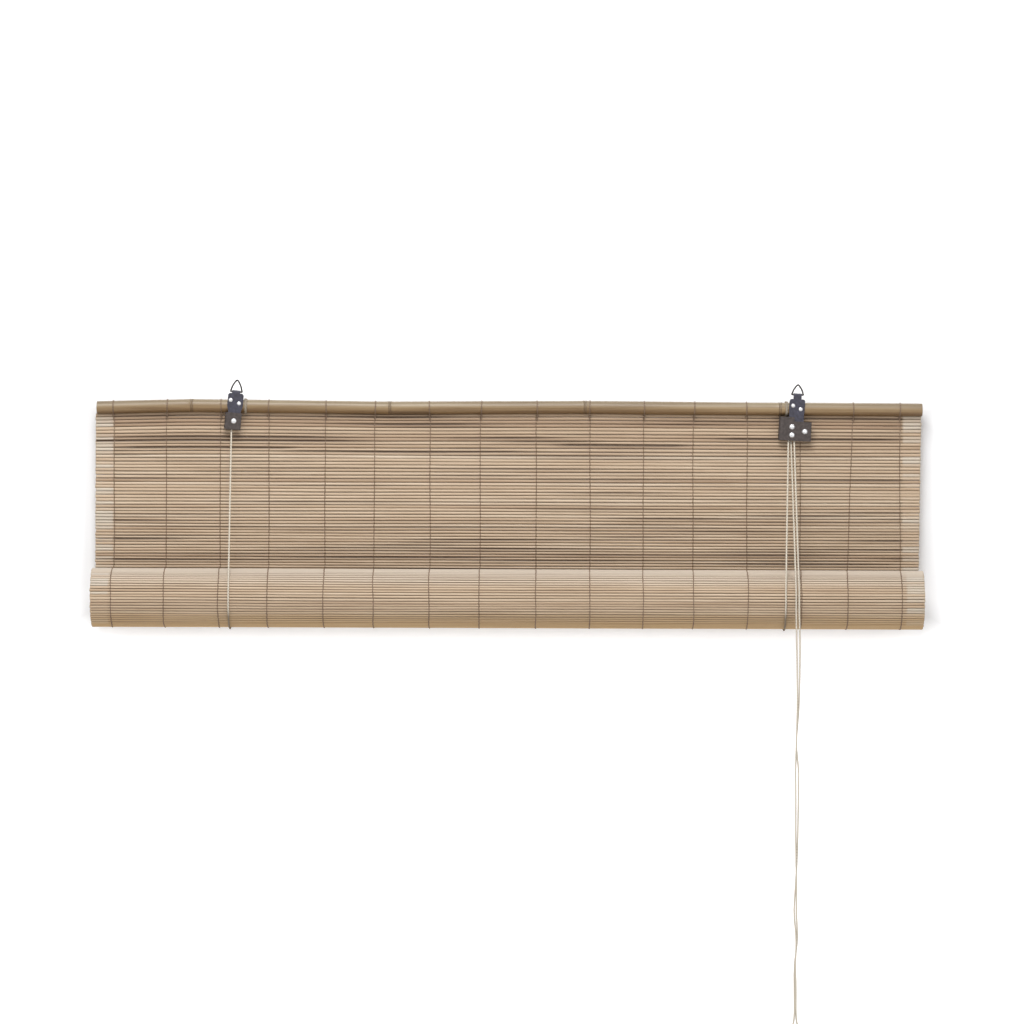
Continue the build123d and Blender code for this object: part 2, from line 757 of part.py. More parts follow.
# Pull cords: a leg to the roll, round its front, straight down, then loosely twisted to the coil
pull_middle = sum(pull_cord_x) / 2
tail_ends = []
for name, pull_exit, pull_x, side, middle in zip(
    ("left_cord", "right_cord"), pull_exits, pull_cord_x, (-1, 1), (back_sheave_middle, front_sheave_middle)
):
    came_from = right_plane.from_local_coords((right_post[0] + post_reach, right_post[1], middle))
    front_y, front_z, front_angle = tangent_from(pull_exit.Y, pull_exit.Z, sling_radius)
    fall_y = roll_y - sling_radius
    save(straight_cord(tuple(pull_exit), (pull_x, front_y, front_z), tuple(pull_exit - came_from)), name + "_pull_leg")
    save(wrap(pull_x, front_angle, pi), name + "_pull_wrap")
    save(straight_cord((pull_x, fall_y, roll_z), (pull_x, fall_y, roll_z - drop_length)), name + "_pull_drop")
    points = [(pull_x, fall_y, roll_z - drop_length)]
    for shift, twist, below in tail_route[1:]:
        reach = side * pair_half
        points.append(
            (
                pull_middle + shift + reach * cos(radians(twist)),
                fall_y + reach * sin(radians(twist)),
                rail_z - below,
            )
        )
    save(routed_cord(points, name + "_pull_tail"), name + "_pull_tail")

# The rest of both cords, put away in one coil
coil_top = rail_z - tail_route[-1][2] - side_gap / 2
coil_outer = coil_radius + coil_depth / 2
coil_x = pull_middle + tail_route[-1][0]
with BuildPart() as cord_coil:
    with BuildSketch(Plane(origin=(coil_x, roll_y - sling_radius - coil_width / 2, coil_top - coil_outer), z_dir=(0, 1, 0))):
        RegularPolygon(coil_outer, coil_facets, rotation=90)
        RegularPolygon(coil_outer - coil_depth, coil_facets, rotation=90, major_radius=False, mode=Mode.SUBTRACT)
    extrude(amount=coil_width)
    rims = cord_coil.faces().sort_by(Axis.Y)
    chamfer(rims[0].edges() + rims[-1].edges(), coil_depth / 4)
save(cord_coil.part, "cord_coil")
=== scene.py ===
from math import asin, cos, degrees, pi, radians, sin
import bmesh
import bpy
from mathutils import Matrix, Vector, noise


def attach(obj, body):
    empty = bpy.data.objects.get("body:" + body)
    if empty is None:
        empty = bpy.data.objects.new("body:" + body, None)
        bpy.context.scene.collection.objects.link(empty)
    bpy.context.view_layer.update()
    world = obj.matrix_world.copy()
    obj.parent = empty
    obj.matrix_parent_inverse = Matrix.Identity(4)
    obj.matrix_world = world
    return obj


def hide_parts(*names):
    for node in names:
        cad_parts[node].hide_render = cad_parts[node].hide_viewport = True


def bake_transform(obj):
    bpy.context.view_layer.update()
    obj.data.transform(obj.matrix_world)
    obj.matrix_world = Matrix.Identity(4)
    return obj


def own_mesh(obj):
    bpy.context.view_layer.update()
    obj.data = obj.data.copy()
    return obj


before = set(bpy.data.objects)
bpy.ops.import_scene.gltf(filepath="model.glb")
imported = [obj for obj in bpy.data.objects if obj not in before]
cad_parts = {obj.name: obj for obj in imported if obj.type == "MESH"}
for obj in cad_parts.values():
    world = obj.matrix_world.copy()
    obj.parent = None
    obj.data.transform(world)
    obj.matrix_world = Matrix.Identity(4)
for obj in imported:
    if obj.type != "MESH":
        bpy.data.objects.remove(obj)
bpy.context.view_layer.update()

# The head rail is one bamboo culm, 1.2 m long and 19 mm thick, a little bent at its four nodes.
# Its skin is khaki with fine fibres along it, and a raised scar ring runs round each node.
# Shade is painted in darker towards its underside, and a pale bluish sheen on its top.
# The section is spun round a straight axis, then bent over the nodes.
rail_z = -0.037
rail_half = 0.6005
rail_radius = 0.00945
rail_shift = 0.0022
culm_nodes = (-0.4625, -0.1743, 0.1095, 0.3934)
culm_path = (
    (-0.6005, -0.0022),
    (-0.4625, 0.0013),
    (-0.1743, -0.0012),
    (0.1095, 0.0006),
    (0.3934, -0.0010),
    (0.6005, -0.0015),
)


def rail_rise(x):
    """Height of the bent culm's axis over its mean line."""
    for (x0, z0), (x1, z1) in zip(culm_path, culm_path[1:]):
        if x <= x1:
            return z0 + (z1 - z0) * (x - x0) / (x1 - x0)
    return culm_path[-1][1]


def uneven(x, row, size):
    """Smooth unevenness of natural stuff, from -size to size."""
    return size * noise.noise(Vector((x, row * 3.7, row * 1.3)))


def finished(bm, name, material, smooth=True):
    """Turns a bmesh into a piece with its faces outwards."""
    bmesh.ops.recalc_face_normals(bm, faces=bm.faces)
    mesh = bpy.data.meshes.new(name)
    bm.to_mesh(mesh)
    bm.free()
    for polygon in mesh.polygons:
        polygon.use_smooth = smooth
    mesh.materials.append(material)
    piece = bpy.data.objects.new(name, mesh)
    bpy.context.scene.collection.objects.link(piece)
    return piece


def new_material(name, roughness=0.5, metallic=0.0):
    """A node material and its main shader."""
    material = bpy.data.materials.new(name)
    material.use_nodes = True
    shader = material.node_tree.nodes["Principled BSDF"]
    shader.inputs["Roughness"].default_value = roughness
    shader.inputs["Metallic"].default_value = metallic
    return material, material.node_tree, shader


def pattern(tree, stretch, scale, detail=3.0, shift=(0, 0, 0)):
    """Noise on the piece's own coordinates, stretched by a mapping."""
    where = tree.nodes.new("ShaderNodeTexCoord")
    mapping = tree.nodes.new("ShaderNodeMapping")
    mapping.inputs["Scale"].default_value = stretch
    mapping.inputs["Location"].default_value = shift
    cloud = tree.nodes.new("ShaderNodeTexNoise")
    cloud.inputs["Scale"].default_value = scale
    cloud.inputs["Detail"].default_value = detail
    tree.links.new(where.outputs["Object"], mapping.inputs["Vector"])
    tree.links.new(mapping.outputs["Vector"], cloud.inputs["Vector"])
    return cloud.outputs["Fac"]


def attribute(tree, name, output="Fac"):
    """A named attribute of the piece."""
    reader = tree.nodes.new("ShaderNodeAttribute")
    reader.attribute_name = name
    return reader.outputs[output]


def ramp(tree, source, *stops):
    """Colours over a value: each stop is its place and its colour."""
    colours = tree.nodes.new("ShaderNodeValToRGB")
    for index, (place, colour) in enumerate(stops):
        if index > 1:
            colours.color_ramp.elements.new(place)
        element = colours.color_ramp.elements[index]
        element.position = place
        element.color = (*colour, 1)
    tree.links.new(source, colours.inputs["Fac"])
    return colours.outputs["Color"]


def mixed(tree, share, first, second, blend="MIX"):
    """Two colours mixed; each may be a socket or a colour."""
    mix = tree.nodes.new("ShaderNodeMix")
    mix.data_type = "RGBA"
    mix.blend_type = blend
    for socket, value in ((0, share), (6, first), (7, second)):
        if isinstance(value, bpy.types.NodeSocket):
            tree.links.new(value, mix.inputs[socket])
        elif socket:
            mix.inputs[socket].default_value = (*value, 1)
        else:
            mix.inputs[socket].default_value = value
    return mix.outputs[2]


def reckon(tree, operation, first, second=0.0):
    """One sum on sockets or numbers."""
    sum_node = tree.nodes.new("ShaderNodeMath")
    sum_node.operation = operation
    for socket, value in ((0, first), (1, second)):
        if isinstance(value, bpy.types.NodeSocket):
            tree.links.new(value, sum_node.inputs[socket])
        else:
            sum_node.inputs[socket].default_value = value
    return sum_node.outputs[0]


def bumped(tree, shader, height, distance, strength=1.0):
    """Raises the surface by a pattern, by up to that distance."""
    bump = tree.nodes.new("ShaderNodeBump")
    bump.inputs["Distance"].default_value = distance
    bump.inputs["Strength"].default_value = strength
    tree.links.new(height, bump.inputs["Height"])
    tree.links.new(bump.outputs["Normal"], shader.inputs["Normal"])


culm_skin, tree, shader = new_material("culm_skin", roughness=0.42)
patches = pattern(tree, (2.2, 28, 28), 1.0, 4.0)
fibres = pattern(tree, (6, 420, 420), 1.0, 5.0)
khaki = (
    (0.34, (0.235, 0.160, 0.092)),
    (0.50, (0.330, 0.238, 0.140)),
    (0.66, (0.385, 0.295, 0.186)),
)
fibre_shades = ramp(tree, fibres, (0.35, (0.20, 0.13, 0.07)), (0.62, (0.46, 0.37, 0.25)))
skin = mixed(tree, 0.35, ramp(tree, patches, *khaki), fibre_shades)
# Painted light: the skin is made darker and browner towards the underside, where shade falls, and pale
# bluish grey on top, for the sheen of light from above.
painted_height_shading = ramp(
    tree,
    attribute(tree, "height"),
    (0.0, (0.46, 0.35, 0.22)),
    (0.25, (0.70, 0.58, 0.41)),
    (0.50, (0.77, 0.72, 0.62)),
    (0.80, (0.66, 0.67, 0.65)),
    (1.0, (0.78, 0.82, 0.84)),
)
skin = mixed(tree, 1.0, skin, painted_height_shading, "MULTIPLY")
skin = mixed(tree, attribute(tree, "scar"), skin, (0.085, 0.050, 0.026))
tree.links.new(skin, shader.inputs["Base Color"])
bumped(tree, shader, fibres, 0.00015, 0.5)

# Its section runs from one hollow end over the skin to the other; a place along X and a radius each.
hollow_depth = 0.012
hollow_radius = 0.0025
skin_steps = 120
scar_reach = 0.006
scar_profile = (
    (-0.0050, -0.0001),
    (-0.0032, 0.0001),
    (-0.0022, 0.0003),
    (-0.0014, 0.0005),
    (-0.0007, 0.0003),
    (0.0, -0.0002),
    (0.0007, 0.0001),
    (0.0016, 0.0004),
    (0.0028, 0.0002),
    (0.0050, -0.0001),
)
near_end = [
    (-rail_half + hollow_depth, 0.0),
    (-rail_half + hollow_depth, hollow_radius),
    (-rail_half, hollow_radius),
]
far_end = [(-x, radius) for x, radius in reversed(near_end)]
skin_line = [(-rail_half, rail_radius - 0.0007), (-rail_half + 0.0004, rail_radius - 0.0002)]
for step in range(1, skin_steps):
    x = -rail_half + 2 * rail_half * step / skin_steps
    if all(abs(x - node) > scar_reach for node in culm_nodes):
        skin_line.append((x, rail_radius - 0.0001 + uneven(9 * x, 1, 0.00018)))
for node in culm_nodes:
    for along, rise in scar_profile:
        skin_line.append((node + along, rail_radius + rise))
skin_line.sort()
skin_line += [(rail_half - 0.0004, rail_radius - 0.0002), (rail_half, rail_radius - 0.0007)]
bm = bmesh.new()
corners = [bm.verts.new((x, 0, radius)) for x, radius in near_end + skin_line + far_end]
edges = [bm.edges.new(pair) for pair in zip(corners, corners[1:])]
bmesh.ops.spin(
    bm,
    geom=corners + edges,
    cent=(0, 0, 0),
    axis=(1, 0, 0),
    angle=2 * pi,
    steps=48,
    use_merge=True,
)
bmesh.ops.remove_doubles(bm, verts=bm.verts, dist=0.000005)
scar = bm.verts.layers.float.new("scar")
height = bm.verts.layers.float.new("height")
for vert in bm.verts:
    # How high on the culm the vertex lies; the skin's painted shade and painted top sheen follow it.
    vert[height] = 0.5 + 0.5 * max(-1.0, min(1.0, vert.co.z / rail_radius))
    near = min(abs(vert.co.x - node) for node in culm_nodes)
    vert[scar] = 0.0
    if 0.0012 < near < 0.0018:
        vert[scar] = 0.80
    elif near < 0.0008:
        vert[scar] = 0.35
    if -0.176 < vert.co.x < -0.118 and vert.co.z < -0.5 * rail_radius:
        vert[scar] = max(vert[scar], 0.5)
    if abs(vert.co.x) > rail_half - 0.0005 and Vector(vert.co.yz).length < 0.006:
        vert[scar] = 0.85
    vert.co.x += rail_shift
    vert.co.z += rail_z + rail_rise(vert.co.x)
head_rail = finished(bm, "bamboo_head_rail", culm_skin)
head_rail.data.set_sharp_from_angle(angle=radians(50))
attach(head_rail, "head")
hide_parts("head_rail")

# The mat is made of round bamboo reeds, 1.2 m long and about 4 mm thick, laid side by side.
# Every reed is one shaft that wanders and swells a little; its colour runs from cream to brown.
# One shaft is drawn out of a circle, and each reed is a bent and scaled copy of it.
mat_half = 0.6
mat_y = 0.002
hung_top = -0.04867
hung_bottom = -0.3139
hung_reeds = 58
painted_end_light_from = 0.5745

reed_skin, tree, shader = new_material("reed_skin", roughness=0.55)
tone = attribute(tree, "tone")
drift = pattern(tree, (5, 90, 90), 1.0, 3.0)
streaks = pattern(tree, (14, 1300, 1300), 1.0, 4.0, (3, 0, 0))
tone_part = reckon(tree, "MULTIPLY", tone, 0.62)
drift_part = reckon(tree, "MULTIPLY", drift, 0.38)
reed_colour = ramp(
    tree,
    reckon(tree, "ADD", tone_part, drift_part),
    (0.20, (0.350, 0.237, 0.150)),
    (0.42, (0.475, 0.350, 0.236)),
    (0.58, (0.548, 0.422, 0.298)),
    (0.80, (0.610, 0.502, 0.382)),
)
fine = ramp(tree, streaks, (0.30, (0.55, 0.47, 0.38)), (0.62, (1.0, 1.0, 1.0)))
reed_colour = mixed(tree, 0.55, reed_colour, fine, "MULTIPLY")
# Painted light: reeds beyond the last thread columns are paler at random, for light passing between their
# loose ends.
reed_colour = mixed(tree, attribute(tree, "painted_end_light"), reed_colour, (0.530, 0.465, 0.378))
# Painted light on the roll's outer turn: a pale grey sheen on its top and a deeper golden shade on its
# underside.
sheen_and_shade = attribute(tree, "sheen_and_shade")
painted_top_sheen = reckon(tree, "MAXIMUM", sheen_and_shade, 0.0)
painted_underside_shade = reckon(tree, "MAXIMUM", reckon(tree, "MULTIPLY", sheen_and_shade, -1.0), 0.0)
reed_colour = mixed(tree, painted_top_sheen, reed_colour, (0.520, 0.465, 0.400))
reed_colour = mixed(tree, painted_underside_shade, reed_colour, (0.520, 0.328, 0.138))
# Painted shade: each reed's top and bottom edges are darkened where it meets its neighbours, for the
# shade in the seams between them.
reed_colour = mixed(tree, attribute(tree, "crease_shade"), reed_colour, (0.082, 0.048, 0.025))
reed_colour = mixed(tree, attribute(tree, "cut_end"), reed_colour, (0.46, 0.34, 0.20))
tree.links.new(reed_colour, shader.inputs["Base Color"])
bumped(tree, shader, streaks, 0.00006, 0.5)


def reed_shaft(sides, stations):
    """One straight reed of radius 1 along X, drawn out of a circle from station to station."""
    shaft = bmesh.new()
    ring = bmesh.ops.create_circle(shaft, cap_ends=False, segments=sides, radius=1.0)["verts"]
    bmesh.ops.rotate(shaft, verts=ring, cent=(0, 0, 0), matrix=Matrix.Rotation(pi / 2, 3, "Y"))
    bmesh.ops.translate(shaft, verts=ring, vec=(stations[0], 0, 0))
    rim = list(shaft.edges)
    first = list(rim)
    for start, end in zip(stations, stations[1:]):
        grown = bmesh.ops.extrude_edge_only(shaft, edges=rim)["geom"]
        verts = [part for part in grown if isinstance(part, bmesh.types.BMVert)]
        rim = [part for part in grown if isinstance(part, bmesh.types.BMEdge)]
        rim = [edge for edge in rim if all(vert in verts for vert in edge.verts)]
        bmesh.ops.translate(shaft, verts=verts, vec=(end - start, 0, 0))
    bmesh.ops.holes_fill(shaft, edges=first + rim, sides=sides)
    bmesh.ops.recalc_face_normals(shaft, faces=shaft.faces)
    mesh = bpy.data.meshes.new("reed_shaft")
    shaft.to_mesh(mesh)
    shaft.free()
    return mesh


def lay_reed(
    mat,
    shaft,
    row,
    place,
    outward,
    thickness,
    height,
    layers,
    crease_shade,
    follow=0.0,
    short=0.0,
    sheen_and_shade=0.0,
    dim=0.0,
):
    """Adds one reed to the mat.

    Place is its middle in Y and Z, outward the way its broad side looks, thickness and height are half
    its depth and half what it takes up along the mat, and its crease value is how much shade is painted
    into its seams.
    Follow is how closely it follows the bent rail, short what is cut off its right end, and dim how much
    painted shade darkens it beyond its neighbours. Above 0 its tint adds a pale sheen painted on, as on
    the roll's top; below 0 it adds a deeper golden shade painted on, as under the roll.
    """
    tone_layer, pale_layer, end_layer, crease_shade_layer, sheen_and_shade_layer = layers
    before = len(mat.verts)
    mat.from_mesh(shaft)
    mat.verts.ensure_lookup_table()
    tone_value = 0.5 + 0.55 * noise.noise(Vector((row * 0.71, row * 0.37, 4.2))) - dim
    side_y, side_z = -outward[1], outward[0]
    for index in range(before, len(mat.verts)):
        vert = mat.verts[index]
        x, across, deep = vert.co.x, vert.co.z, -vert.co.y
        swell = 1.0 + uneven(7 * x, row + 20, 0.07)
        shift = uneven(2.3 * x, row * 0.06 + 50, 0.0011 * (1 - follow))
        shift += uneven(6 * x, row + 90, 0.00022)
        lift = uneven(4.3 * x, row + 130, 0.00025)
        a = across * height * swell + shift
        b = deep * thickness * min(1.0, swell) + lift
        at_end = abs(x) > mat_half - 0.0001
        if at_end:
            x += uneven(row * 0.7, 170 if x > 0 else 210, 0.0012)
        if x > mat_half - 0.01:
            x -= short
        vert.co.x = x
        vert.co.y = place[0] + side_y * a + outward[0] * b
        vert.co.z = place[1] + side_z * a + outward[1] * b + follow * rail_rise(x)
        vert[tone_layer] = tone_value
        vert[sheen_and_shade_layer] = sheen_and_shade
        # Paler loose ends, painted in for the light between them; their seams also get less painted
        # shade.
        pale = noise.noise(Vector((row * 0.43, 7.7 if x > 0 else 2.2, 1.9)))
        beyond = abs(x) > painted_end_light_from
        vert[pale_layer] = min(0.85, max(0.0, 0.25 + 2.6 * pale)) if beyond else 0.0
        vert[end_layer] = 0.6 if at_end else 0.0
        # How much shade is painted into this reed's seams: uneven along it, and weaker at its loose ends.
        seam = row + 250 + (across > 0)
        strong = 0.85 + uneven(2.6 * x, seam, 0.45)
        strong += (crease_shade - 0.6) * max(0.0, uneven(3.4 * x, seam + 400, 2.4))
        strong *= min(1.0, crease_shade) * (0.6 if beyond else 1.0)
        edge = abs(across)
        if edge > 0.95:
            vert[crease_shade_layer] = min(1.0, strong * 1.1)
        elif edge > 0.8:
            vert[crease_shade_layer] = min(1.0, strong * 0.62)
        elif edge > 0.4:
            vert[crease_shade_layer] = min(0.9, max(0.0, strong - 0.98) * 1.3)


def mat_layers(mat):
    """Layers that the reeds' material reads."""
    names = ("tone", "painted_end_light", "cut_end", "crease_shade", "sheen_and_shade")
    return [mat.verts.layers.float.new(name) for name in names]


# The hung part: fifty-eight reeds one above the other, held only by their threads.
# They are spaced a little wider near the rail than near the roll.
end_stations = (0.6, 0.5985, 0.5760, 0.5730)
inner_stations = [-0.57 + 0.03 * step for step in range(1, 38)]
stations = [-x for x in end_stations] + inner_stations + list(end_stations[::-1])
long_shaft = reed_shaft(12, stations)
drop = hung_top - hung_bottom
reed_places = []
reed_gaps = []
for row in range(hung_reeds):
    share = (row + 0.5) / hung_reeds
    reed_places.append(hung_top + 0.0031 * (1 - share) - drop * (share + 0.035 * sin(pi * share)))
    reed_gaps.append(drop / hung_reeds * (1 + 0.11 * cos(pi * share)))
# Three bands carry painted shade: the top one the rail's shadow, the two lower ones deeper dark lines
# between the reeds.
# For each: its bottom and top, how dark its creases are and how dim its reeds.
shaded_bands = (
    (-0.068, 0.0, 1.4, 0.30),
    (-0.102, -0.076, 2.3, 0.22),
    (-0.262, -0.222, 1.3, 0.06),
)
bent_rows = 14
bm = bmesh.new()
layers = mat_layers(bm)
for row, (z, gap) in enumerate(zip(reed_places, reed_gaps)):
    dark, dim = 1.0, 0.0
    for band_bottom, band_top, band_dark, band_dim in shaded_bands:
        if band_bottom < z < band_top:
            dark, dim = band_dark, band_dim
    lay_reed(
        bm,
        long_shaft,
        row,
        place=(mat_y, z),
        outward=(-1, 0),
        thickness=0.0018,
        height=gap / 2,
        layers=layers,
        crease_shade=dark,
        follow=max(0.0, 1 - row / bent_rows),
        short=-0.0012 + 0.0035 * row / hung_reeds,
        dim=dim,
    )
hung_mat = finished(bm, "hung_reeds", reed_skin)
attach(hung_mat, "head")
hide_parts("hung_mat")
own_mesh(hung_mat)

# The rolled part: the same reeds laid along a spiral, wound towards the room round the bottom rod.
# It leaves the hung part at the back, so its outer turn runs down, under and up the front.
# Of the inner turns only the ends show, so their reeds are plainer.
roll_y = -0.0393
roll_z = -0.3142
roll_radius = 0.0433
turn_step = 0.0043
roll_turns = 8
reed_pitch = 0.00398


def spiral_radius(angle):
    """Middle radius of the rolled mat after angle degrees; each turn steps in over its last 110."""
    turn = int(angle // 360)
    step_in = max(0.0, angle - 360 * turn - 250.0) / 110.0
    return roll_radius - 0.0020 - turn_step * (turn + step_in)


short_shaft = reed_shaft(8, [-0.6, -0.36, -0.12, 0.12, 0.36, 0.6])
bm = bmesh.new()
layers = mat_layers(bm)
angle = 1.5
row = 0
roll_angles = []
while angle < 360 * roll_turns - 2:
    radius = spiral_radius(angle)
    turn = radians(angle)
    outward = (cos(turn), -sin(turn))
    place = (roll_y + radius * outward[0], roll_z + radius * outward[1])
    outer = angle < 362
    if outer:
        roll_angles.append(angle)
    shaft = long_shaft if outer else short_shaft
    # Less shade is painted into the seams from the roll's upper front on; a sheen is painted on the
    # roll's top and shade under it, each fading round the turn.
    dark = 0.85 if angle < 225 else 0.65
    top_sheen = 0.7 * max(0.0, 1 - ((angle - 275) / 75) ** 2)
    underside_shade = 0.80 * max(0.0, 1 - ((angle - 95) / 62) ** 2)
    lay_reed(
        bm,
        shaft,
        row + 100,
        place,
        outward,
        thickness=0.0017,
        height=0.00201,
        layers=layers,
        crease_shade=dark,
        sheen_and_shade=top_sheen - underside_shade if outer else 0.0,
    )
    angle += degrees(reed_pitch / radius)
    row += 1
rolled_mat = finished(bm, "rolled_reeds", reed_skin)
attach(rolled_mat, "roll")
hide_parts("mat_roll")

bottom_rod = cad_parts["bottom_rod"]
bottom_rod.data.materials.clear()
bottom_rod.data.materials.append(reed_skin)

# Sixteen columns of thin brown thread bind the reeds; a column's two strands cross between the reeds.
# The strands are cotton, 1.5 mm thick, and run on from the hung part round the roll.
# They are drawn as curves along the reeds' places and made into meshes.
thread_thickness = 0.0015
strand_offset = 0.0003
hung_weave = 0.00195
rolled_weave = 0.00205
column_x = (
    -0.5731,
    -0.4974,
    -0.4188,
    -0.3475,
    -0.2660,
    -0.1947,
    -0.1132,
    -0.0404,
    0.0411,
    0.1197,
    0.1969,
    0.2696,
    0.3482,
    0.4254,
    0.5011,
    0.5709,
)
twine, tree, shader = new_material("brown_twine", roughness=0.8)
fuzz = pattern(tree, (1, 1, 1), 900.0, 3.0)
twine_shades = ramp(tree, fuzz, (0.3, (0.125, 0.080, 0.052)), (0.7, (0.270, 0.185, 0.125)))
tree.links.new(twine_shades, shader.inputs["Base Color"])


def strands(name, routes, resolution=3, order=3, closed=False):
    """Smooth lines along routes of control points, as one curve on an object out of sight."""
    curve = bpy.data.curves.new(name, "CURVE")
    curve.dimensions = "3D"
    for route in routes:
        spline = curve.splines.new("NURBS")
        spline.points.add(len(route) - 1)
        for point, place in zip(spline.points, route):
            point.co = (*place, 1)
        spline.order_u = order
        spline.use_endpoint_u = not closed
        spline.use_cyclic_u = closed
        spline.resolution_u = resolution
    return bpy.data.objects.new(name, curve)


def drawn(name, routes, radius, material, sides=1, resolution=3, order=3, closed=False):
    """Round strands along routes of control points, as one mesh."""
    holder = strands(name, routes, resolution, order, closed)
    holder.data.bevel_depth = radius
    holder.data.bevel_resolution = sides
    holder.data.use_fill_caps = True
    mesh = bpy.data.meshes.new_from_object(holder)
    bpy.data.objects.remove(holder)
    for polygon in mesh.polygons:
        polygon.use_smooth = True
    mesh.materials.clear()
    mesh.materials.append(material)
    piece = bpy.data.objects.new(name, mesh)
    bpy.context.scene.collection.objects.link(piece)
    return piece


def column_wander(column, down):
    """How far a thread column has strayed sideways, down metres under the rail."""
    lean = -0.008 * down / drop if column == 14 else 0.0
    return lean + uneven(down * 9, column + 300, 0.0011)


routes = []
for column, x in enumerate(column_x):
    for strand in (0, 1):
        route = []
        for row, z in enumerate(reed_places):
            side = -1 if (row + strand) % 2 else 1
            place = x + column_wander(column, hung_top - z) + strand * strand_offset
            route.append((place, mat_y + side * hung_weave, z + 0.0008))
            route.append((place, mat_y + side * hung_weave, z - 0.0008))
        routes.append(route)
hung_threads = drawn("hung_mat_threads", routes, thread_thickness / 2, twine)
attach(hung_threads, "head")
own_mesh(hung_threads)

routes = []
for column, x in enumerate(column_x):
    for strand in (0, 1):
        route = []
        for row, angle in enumerate(roll_angles):
            side = 1 if (row + strand) % 2 else -1
            reach = spiral_radius(angle) + side * rolled_weave
            stray = column_wander(column, drop) + 0.0030 - 0.0059 * (x + 0.573)
            stray += uneven(angle * 0.02, column + 400, 0.0012)
            place = x + stray + strand * strand_offset
            for shift in (-1.1, 1.1):
                turn = radians(angle + shift)
                route.append((place, roll_y + reach * cos(turn), roll_z - reach * sin(turn)))
        routes.append(route)
rolled_threads = drawn("rolled_mat_threads", routes, thread_thickness / 2, twine)
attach(rolled_threads, "roll")

# A loop of the same twine ties the mat to the rail at each column but the one behind the right strap.
# It goes once round the culm and is knotted below it, with both ends worked down into the first reeds.
unlooped_column = 13
loop_reach = rail_radius + 0.00045
loop_thickness = 0.00136
knot_shape = (
    (-0.0011, -0.0030, -0.0004),
    (0.0009, -0.0037, -0.0010),
    (0.0012, -0.0030, 0.0006),
    (-0.0010, -0.0035, 0.0002),
    (-0.0014, -0.0030, -0.0018),
)
routes = []
for column, x in enumerate(column_x):
    if column == unlooped_column:
        continue
    x += 0.0015 if column % 3 else -0.001
    middle = rail_z + rail_rise(x)
    slant = 0.0012 if column % 2 else -0.0008
    route = [(x, mat_y - 0.0024, hung_top - 0.0075), (x, mat_y - 0.0026, hung_top - 0.003)]
    route.append((x, -0.0042, middle - loop_reach * 1.02))
    for turn in range(-70, 251, 20):
        side = radians(turn - 180)
        across = loop_reach * cos(side) * 1.015
        up = loop_reach * sin(side) * 1.015
        route.append((x + slant * (turn + 70) / 320, across, middle - up))
    x_end = x + slant
    route.append((x_end, 0.0058, middle - loop_reach * 0.98))
    route.append((x_end, mat_y + 0.0026, hung_top - 0.003))
    route.append((x_end, mat_y + 0.0024, hung_top - 0.0075))
    routes.append(route)
    routes.append([(x + right, mat_y + back, hung_top + up) for right, back, up in knot_shape])
rail_loops = drawn("rail_twine_loops", routes, loop_thickness / 2, twine, sides=2)
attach(rail_loops, "head")
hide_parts("rail_thread_loops")

# Two hanger straps of dark painted steel sheet, 1.2 mm thick, nailed to the front of the rail.
# The neck of each is rolled into an eye, and the tail carries a folded housing for the sheaves.
# The pressed parts keep their CAD form; their edges are rounded and their paint is mottled.
def painted(name, dark, middle, light):
    """Dull mottled paint on steel, from three shades of one colour."""
    material, tree, shader = new_material(name, roughness=0.5)
    cloudy = pattern(tree, (1, 1, 1), 260.0, 5.0)
    speckle = pattern(tree, (1, 1, 1), 1500.0, 2.0)
    paint = ramp(tree, cloudy, (0.30, dark), (0.50, middle), (0.70, light))
    grain = ramp(tree, speckle, (0.36, (0.25, 0.24, 0.24)), (0.64, (1.0, 1.0, 1.0)))
    tree.links.new(mixed(tree, 0.55, paint, grain, "MULTIPLY"), shader.inputs["Base Color"])
    bumped(tree, shader, speckle, 0.00012, 0.5)
    return material


# The straps' paint is dark and bluish grey; its bluish cast is the sky's sheen painted into the colour.
strap_paint_sky_sheen = painted(
    "strap_paint_sky_sheen",
    (0.026, 0.024, 0.034),
    (0.040, 0.038, 0.058),
    (0.060, 0.058, 0.086),
)
housing_paint = painted(
    "housing_paint",
    (0.038, 0.027, 0.024),
    (0.054, 0.040, 0.036),
    (0.078, 0.060, 0.055),
)


def dressed(node, name, material, edge, body, lowered=None):
    """A copy of a CAD node with rounded edges, in its place; lowered tells how far a point drops."""
    bm = bmesh.new()
    bm.from_mesh(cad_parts[node].data)
    bmesh.ops.remove_doubles(bm, verts=bm.verts, dist=0.000002)
    bmesh.ops.dissolve_limit(bm, angle_limit=radians(1), verts=bm.verts, edges=bm.edges)
    if lowered:
        for vert in bm.verts:
            vert.co.z -= lowered(vert.co)
    piece = finished(bm, name, material)
    if edge:
        rounded = piece.modifiers.new("rounded", "BEVEL")
        rounded.width = edge
        rounded.segments = 2
        rounded.limit_method = "ANGLE"
        rounded.angle_limit = radians(40)
        rounded.harden_normals = True
    piece.data.set_sharp_from_angle(angle=radians(35))
    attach(piece, body)
    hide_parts(node)
    return piece


def right_shoulders(point):
    """The right strap is cut with lower shoulders, which leave a longer neck under its eye."""
    shoulder_line = -0.0194 - 0.0508 * (point.x - 0.4147)
    return 0.0040 if -0.0242 < point.z < shoulder_line + 0.00004 else 0.0


pressed_edge = 0.00018
for node, name, paint, lowered in (
    ("hanger_strap_left", "strap_left", strap_paint_sky_sheen, None),
    ("hanger_strap_right", "strap_right", strap_paint_sky_sheen, right_shoulders),
    ("pulley_housing_left", "left_housing", housing_paint, None),
    ("lock_housing_right", "right_housing", housing_paint, None),
):
    dressed(node, name, paint, pressed_edge, "head", lowered)

